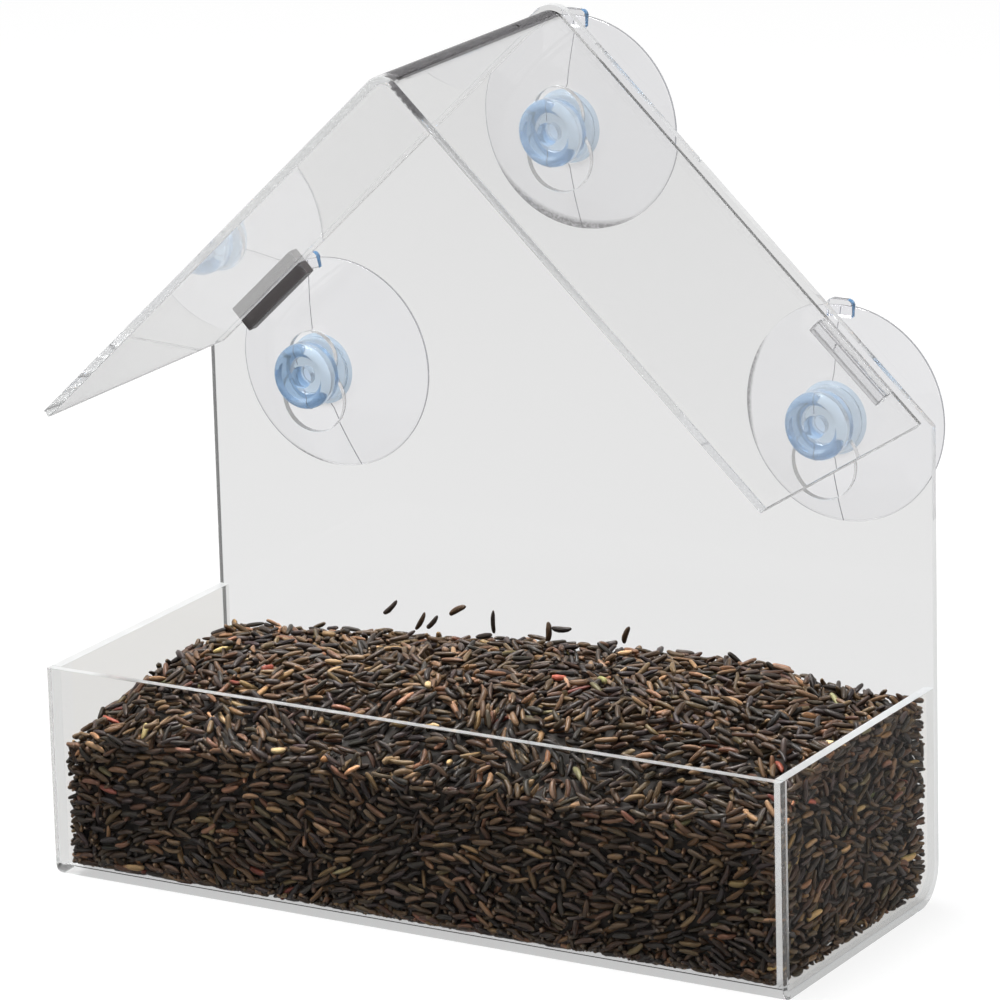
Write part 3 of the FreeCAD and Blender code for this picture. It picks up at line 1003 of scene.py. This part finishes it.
def seed_colours(husks, forms):
    """A colour for each vertex: the husk's, with lighter and darker ribs along it, paler at its blunt end."""
    count = len(husks)
    ribs = RANDOM.lognormal(0.0, RIB_CONTRAST, (count, 1, SEED_SIDES))
    ribs = np.repeat(ribs, len(SEED_STATIONS), axis=1).reshape(count, -1)
    ribs = np.concatenate((ribs, np.ones((count, 2))), axis=1)
    along = forms[..., 0] + 0.5
    pale = np.clip(1.0 - along / 0.06, 0.0, 1.0) * RANDOM.uniform(0.0, 0.8, (count, 1))
    ribbed = husks[:, None, :] * ribs[..., None]
    colours = ribbed + (np.array(TIP_COLOUR) - ribbed) * pale[..., None]
    return np.clip(colours, 0.002, 1.0)


def joined_mesh(name, points, faces, colours):
    """A mesh of copies of one set of faces, each copy with its own points and colours."""
    count, size, _ = points.shape
    corners = np.array([corner for face in faces for corner in face])
    lengths = np.array([len(face) for face in faces])
    loops = (corners[None, :] + size * np.arange(count)[:, None]).ravel()
    starts = np.cumsum(np.concatenate(((0,), np.tile(lengths, count)[:-1])))
    mesh = bpy.data.meshes.new(name)
    mesh.vertices.add(count * size)
    mesh.vertices.foreach_set("co", points.astype(np.float32).ravel())
    mesh.loops.add(len(loops))
    mesh.loops.foreach_set("vertex_index", loops.astype(np.int32))
    mesh.polygons.add(len(starts))
    mesh.polygons.foreach_set("loop_start", starts.astype(np.int32))
    mesh.update(calc_edges=True)
    layer = mesh.color_attributes.new("husk", "FLOAT_COLOR", "POINT")
    rgba = np.ones((count * size, 4), np.float32)
    rgba[:, :3] = colours.reshape(-1, 3)
    layer.data.foreach_set("color", rgba.ravel())
    mesh.shade_smooth()
    return mesh


def heap_surface():
    """The heap's height above the tray as a function of x and y, read from the seed solid."""
    solid = frame["nodes"]["seed_fill"].data
    tree = BVHTree.FromPolygons([v.co for v in solid.vertices], [p.vertices for p in solid.polygons])
    inset = 0.4 * MM
    xs = np.linspace(SEED_LOW.x + inset, SEED_HIGH.x - inset, 75)
    ys = np.linspace(SEED_LOW.y + inset, SEED_HIGH.y - inset, 31)
    down = Vector((0, 0, -1))
    grid = np.array([[tree.ray_cast(Vector((x, y, 1.0)), down)[0].z for y in ys] for x in xs])
    for _ in range(4):
        grid[1:-1] = (grid[:-2] + 2 * grid[1:-1] + grid[2:]) / 4
        grid[:, 1:-1] = (grid[:, :-2] + 2 * grid[:, 1:-1] + grid[:, 2:]) / 4

    def height(x, y):
        i = np.clip((x - xs[0]) / (xs[1] - xs[0]), 0, len(xs) - 1.001)
        j = np.clip((y - ys[0]) / (ys[1] - ys[0]), 0, len(ys) - 1.001)
        a = i.astype(int)
        b = j.astype(int)
        p = i - a
        q = j - b
        near = grid[a, b] * (1 - q) + grid[a, b + 1] * q
        far = grid[a + 1, b] * (1 - q) + grid[a + 1, b + 1] * q
        return near * (1 - p) + far * p

    return height


def wall_patch(first, last, heap):
    """A patch on the inside of the bent sheet, between two distances along it."""
    at, length = body_fold()
    lines = np.linspace(0.0, length, 600)
    found = [at(line) for line in lines.tolist()]
    points = np.array([point + (SHEET / 2 + WALL_GAP) * left_of(angle) for point, angle in found])
    inward = np.array([left_of(angle) for _, angle in found])

    def frame_at(across, along):
        y, z, ny, nz = (np.interp(along, lines, column) for column in (*points.T, *inward.T))
        first_way = columns(np.ones_like(y), 0.0, 0.0)
        out = columns(0.0, ny, nz)
        return columns(across, y, z), first_way, np.cross(out, first_way), out

    def takes(places):
        y, z = (np.interp(places[:, 1], lines, column) for column in points.T)
        return (np.abs(places[:, 0]) < REACH) & (z < heap(places[:, 0], y))

    return Patch((-REACH, first), (REACH, last), frame_at, takes)


def end_patch(sign, heap):
    """A patch on the inside of an end panel."""
    wall = sign * REACH

    def frame_at(across, up):
        one = np.ones_like(across)
        first_way = columns(0.0, one, 0.0)
        second_way = columns(0.0, 0.0, one)
        return columns(wall, across, up), first_way, second_way, columns(-sign * one, 0.0, 0.0)

    def takes(places):
        low = (places[:, 1] > SHEET) & (places[:, 0] > TRAY_FRONT) & (places[:, 0] < PANEL_FRONT)
        return low & (places[:, 1] < heap(np.full(len(places), wall), places[:, 0]))

    return Patch((TRAY_FRONT, SHEET), (PANEL_FRONT, WALL_TOP), frame_at, takes)


def top_patch(heap):
    """A patch on the heap's upper face. The seeds start below it and pile up to it."""
    step = 0.5 * MM

    def frame_at(x, y):
        slope_x = (heap(x + step, y) - heap(x - step, y)) / (2 * step)
        slope_y = (heap(x, y + step) - heap(x, y - step)) / (2 * step)
        out = unit(columns(-slope_x, -slope_y, 1.0))
        first_way = unit(columns(1.0, 0.0, slope_x))
        origin = columns(x, y, heap(x, y)) - out * patch.heights.mean()
        return origin, first_way, np.cross(out, first_way), out

    def takes(places):
        deep = (places[:, 1] > TRAY_FRONT) & (places[:, 1] < PANEL_FRONT)
        return (np.abs(places[:, 0]) < REACH) & deep

    patch = Patch((-REACH, TRAY_FRONT), (REACH, PANEL_FRONT), frame_at, takes)
    return patch


def grouped(places, swing, loose):
    """Directions that drift across a face, so that neighbours lie alike. A share of the seeds lies loose."""
    waves = np.sin(places[:, 0] / (5.3 * MM)) * np.cos(places[:, 1] / (4.1 * MM))
    waves = waves + np.sin((places[:, 0] + 1.7 * places[:, 1]) / (8.9 * MM))
    count = len(places)
    spread = np.where(RANDOM.uniform(size=count) < loose, 1.6, 0.25)
    turned = math.pi * RANDOM.integers(0, 2, count)
    return waves * swing + RANDOM.normal(0.0, 1.0, count) * spread + turned


def mostly_level(places):
    """Directions mostly along a wall, either way round."""
    return grouped(places, 0.38, 0.2)


def any_way(places):
    """Directions all round, in small groups."""
    return grouped(places, 0.8, 0.45)


def wall_layers(first, standing, lean, last):
    """Layers at a wall: seeds laid flat, seeds pushed end-on between them, and seeds laid over these."""
    return (first, lay_flat, mostly_level), (standing, stand_up, lean), (last, lay_flat, mostly_level)


def shaded_seed_core(heap):
    """The inside of the heap, one skin of seeds below its faces; it is coloured near-black as painted shade."""
    reach = INSIDE_X - CORE_INSET
    ys = np.linspace(TRAY_FRONT + CORE_INSET, PANEL_FRONT - CORE_INSET, 24)
    mesh = bmesh.new()
    rings = []
    for x in np.linspace(-reach, reach, 60):
        heights = heap(np.full(len(ys), x), ys) - CORE_INSET
        top = [mesh.verts.new((x, y, z)) for y, z in zip(ys, heights)]
        bottom = [mesh.verts.new((x, y, SHEET + CORE_INSET)) for y in ys]
        rings.append(top + bottom[::-1])
    for ring, after in zip(rings, rings[1:]):
        for k in range(len(ring)):
            mesh.faces.new((ring[k - 1], after[k - 1], after[k], ring[k]))
    for ring in (rings[0], rings[-1]):
        for k in range(len(ys) - 1):
            mesh.faces.new((ring[k], ring[k + 1], ring[-2 - k], ring[-1 - k]))
    return closed_mesh("shaded_seed_core", mesh)


def stray_seeds(shapes):
    """The seeds that cling to the back panel above the heap."""
    count = len(STRAY_SEEDS)
    sizes = np.array([draw_size() for _ in range(count)])
    across, up, turn = np.array(STRAY_SEEDS).T
    centres = columns(across * MM, PANEL_FRONT - WALL_GAP - sizes[:, 1], up * MM)
    turn = np.radians(turn)
    directions = columns(np.cos(turn), 0.0, np.sin(turn))
    facing = np.tile((0.0, -1.0, 0.0), (count, 1))
    dark = np.array([colour for colour, _ in HUSK_COLOURS[:2]])
    return seed_mesh("seeds_stray", shapes, centres, directions, facing, sizes, dark[np.arange(count) % 2])


def crumbs(shapes, heap):
    """The bits of other plants on the heap."""
    count = len(CRUMBS)
    x, y, turn = np.array([crumb[:3] for crumb in CRUMBS]).T
    x = x * MM
    y = y * MM
    turn = np.radians(turn)
    centres = columns(x, y, heap(x, y) + CRUMB_SIZE[1])
    directions = columns(np.cos(turn), np.sin(turn), 0.0)
    facing = np.tile((0.0, 0.0, 1.0), (count, 1))
    sizes = np.tile(CRUMB_SIZE, (count, 1))
    husks = np.array([crumb[3] for crumb in CRUMBS])
    return seed_mesh("seeds_crumbs", shapes, centres, directions, facing, sizes, husks)


def seed_meshes(heap):
    """The meshes of all the separate seeds: a skin on each face of the heap, strays and crumbs."""
    length = body_fold()[1]
    (wall, turn, radius), (floor, _, _), _ = body_runs()
    floor_start = wall + turn * radius
    floor_end = floor_start + floor
    patches = {
        "front": (wall_patch(0.0, floor_start + 2 * MM, heap), wall_layers(1400, 700, 0.5, 550)),
        "right": (end_patch(1.0, heap), wall_layers(640, 150, 0.35, 380)),
        "left": (end_patch(-1.0, heap), wall_layers(560, 130, 0.35, 350)),
        "back": (wall_patch(floor_end - 2 * MM, length, heap), wall_layers(1400, 300, 0.35, 500)),
        "bottom": (wall_patch(floor_start - 1 * MM, floor_end + 1 * MM, heap), ((1900, lay_flat, any_way),)),
        "top": (top_patch(heap), ((5000, lay_flat, any_way),)),
    }
    shapes = seed_shapes()
    for name, (patch, layers) in patches.items():
        centres, directions, facing, sizes = fill_patch(patch, layers)
        centres = inside_tray(centres, directions, sizes)
        shares = -(-len(centres) // SEEDS_A_PIECE)
        for share in range(shares):
            part = slice(share, None, shares)
            label = f"seeds_{name}_{share + 1}"
            yield seed_mesh(label, shapes, centres[part], directions[part], facing[part], sizes[part])
    yield stray_seeds(shapes)
    yield crumbs(shapes, heap)


def build_seed():
    """The heap: separate seeds on its faces around a core in painted shade."""
    heap = heap_surface()
    husk = seed_material()
    for mesh in seed_meshes(heap):
        piece = mesh_object(mesh.name, mesh, husk)
        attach(piece, "feeder")
    core = mesh_object("shaded_seed_core", shaded_seed_core(heap), painted_shade_core_material())
    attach(core, "feeder")
    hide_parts("seed_fill")


def build_stage():
    """The table top, the world and the lamps."""
    mesh = bmesh.new()
    bmesh.ops.create_circle(mesh, cap_ends=True, segments=96, radius=FLOOR_RADIUS)
    floor = mesh_object("floor", mesh_data("floor", mesh), floor_material())
    floor.location.z = -FLOOR_DROP
    bpy.context.scene.world = studio_world()
    for name, lamp in LAMPS.items():
        add_lamp(name, *lamp)
    cycles = bpy.context.scene.cycles
    cycles.max_bounces = LIGHT_BOUNCES
    cycles.glossy_bounces = LIGHT_BOUNCES
    cycles.transmission_bounces = LIGHT_BOUNCES
    cycles.transparent_max_bounces = LIGHT_BOUNCES


def add_lamp(name, place, size, watts):
    """A square soft box that faces the object."""
    data = bpy.data.lights.new(name, "AREA")
    data.size = size
    data.energy = watts
    lamp = add_object(name, data)
    lamp.location = place
    lamp.rotation_euler = (CAMERA_TARGET - lamp.location).to_track_quat("-Z", "Y").to_euler()


def build_camera():
    """The camera at the photograph's place."""
    toward = Vector((
        math.sin(CAMERA_AZIMUTH) * math.cos(CAMERA_ELEVATION),
        -math.cos(CAMERA_AZIMUTH) * math.cos(CAMERA_ELEVATION),
        math.sin(CAMERA_ELEVATION),
    ))
    data = bpy.data.cameras.new("camera")
    data.lens = CAMERA_LENS
    data.sensor_width = SENSOR
    data.clip_start = 0.01
    data.clip_end = 100.0
    camera = add_object("camera", data)
    camera.location = CAMERA_TARGET + CAMERA_DISTANCE * toward
    turn = (-toward).to_track_quat("-Z", "Y").to_matrix()
    camera.rotation_euler = (turn @ Matrix.Rotation(CAMERA_ROLL, 3, "Z")).to_euler()
    bpy.context.scene.camera = camera


# Reliefs: noise scale, strength and height
WAVES = (60.0, 0.02, 0.2 * MM)  # faint unevenness of the sheet
SAWN = (900.0, 0.02, 0.1 * MM)  # cut edges
MOULDED = (200.0, 0.05, 0.2 * MM)  # soft vinyl
RIPPLED = (500.0, 0.4, 0.2 * MM)  # the right glue strip
GRAINY = (1500.0, 0.4, 0.1 * MM)  # the left glue strip
LUMPY = (250.0, 0.3, 0.3 * MM)  # cup heads

# Clear acrylic: tint, roughness, index of refraction, relief and milky share
ACRYLIC = clear_material("acrylic", (0.97, 0.97, 0.97), 0.0, 1.49, WAVES)
BACK_PANEL = clear_material("acrylic_back", (0.97, 0.97, 0.97), 0.0, 1.15, WAVES)
# Painted shade: a near-black tint on the ridge bend, for the dark look of the bent clear sheet.
RIDGE_PAINTED_SHADE = clear_material("acrylic_ridge_painted_shade", (0.05, 0.047, 0.05), 0.0, 1.05, WAVES)
TRAY = clear_material("acrylic_tray", (0.96, 0.96, 0.96), 0.0, 1.12, WAVES)
# Painted shade: a grey tint, with almost no refraction, on the outer face of the front bend and the floor, for the
# grey band the clear bend shows.
BASE_PAINTED_SHADE = clear_material("acrylic_base_painted_shade", (0.88, 0.88, 0.88), 0.0, 1.02, WAVES)
END = clear_material("acrylic_end", (0.93, 0.92, 0.90), 0.0, 1.08, WAVES)
POST = clear_material("acrylic_post", (0.97, 0.97, 0.97), 0.0, 1.35, WAVES)
EDGE = clear_material("acrylic_edge", (0.96, 0.97, 0.97), 0.08, 1.49, WAVES, 0.06)
GLUED_EDGE = clear_material("acrylic_glued_edge", (0.95, 0.96, 0.96), 0.05, 1.02, SAWN, 0.12)
# Painted shade: a near-black tint on the cut edges that face left above the walls.
SHADED_LEFT_EDGE = clear_material("acrylic_left_edge_painted_shade", (0.10, 0.10, 0.10), 0.05, 1.10, WAVES, 0.3)
TOP_EDGE = clear_material("acrylic_top_edge", (0.80, 0.81, 0.81), 0.3, 1.3, SAWN, 0.35)
# Painted shade: the walls of the keyholes get a dark tint for the dark lines they show in the clear panel.
KEYHOLE_PAINTED_SHADE = clear_material("acrylic_keyhole_painted_shade", (0.25, 0.25, 0.245), 0.1, 1.49, SAWN, 0.2)
STRIP = clear_material("acrylic_strip", (0.90, 0.90, 0.91), 0.0, 1.49, RIPPLED)
# Painted shade: the strips' rounded edges get a dark tint for the dark outlines that a clear bar shows.
STRIP_EDGE_PAINTED_SHADE = clear_material("acrylic_strip_edge_painted_shade", (0.30, 0.30, 0.31), 0.1, 1.3, SAWN, 0.1)
STRIP_DARK = clear_material("acrylic_strip_dark", (0.11, 0.10, 0.10), 0.3, 1.2, GRAINY, 0.4)

# Clear vinyl
VINYL = (0.985, 0.985, 1.0)
HEAD = clear_material("cup_head", (0.48, 0.64, 0.82), 0.10, 1.4, LUMPY, 0.22)
# Each dish carries a painted reflection of the seed inside its rim.
DISHES = {}
for side in SIDES:
    DISHES[side] = clear_material(side + "_cup_dish", VINYL, 0.02, 1.3, MOULDED, shade=crescent(side))
# Painted shade: the cup's rounded lip gets a dark grey tint for the dark line that the clear rim shows.
RIM_PAINTED_SHADE = clear_material("cup_rim_painted_shade", (0.26, 0.26, 0.28), 0.05, 1.4, MOULDED)
TAB = clear_material("cup_tab", VINYL, 0.02, 1.3, MOULDED)
TAB_SIDE = clear_material("cup_tab_side", (0.10, 0.30, 0.62), 0.1, 1.4, MOULDED, 0.5)
SEAM = clear_material("cup_seam", (0.40, 0.40, 0.43), 0.1, 1.4, MOULDED, 0.3)

build_acrylic({
    "body_sheet": (BACK_PANEL, EDGE, TOP_EDGE, TRAY, KEYHOLE_PAINTED_SHADE, BASE_PAINTED_SHADE, SHADED_LEFT_EDGE),
    "roof_sheet": (ACRYLIC, EDGE, TOP_EDGE, RIDGE_PAINTED_SHADE),
    "right_end_panel": (END, GLUED_EDGE, TOP_EDGE, POST),
    "left_end_panel": (END, GLUED_EDGE, TOP_EDGE, POST),
    "right_roof_strip": (STRIP, STRIP_EDGE_PAINTED_SHADE),
    "left_roof_strip": (STRIP_DARK, STRIP_EDGE_PAINTED_SHADE),
})
build_cups({side: (HEAD, DISHES[side], RIM_PAINTED_SHADE) for side in SIDES}, (TAB, TAB_SIDE), SEAM)
build_seed()
build_stage()
build_camera()

bpy.context.scene.view_settings.view_transform = "Standard"
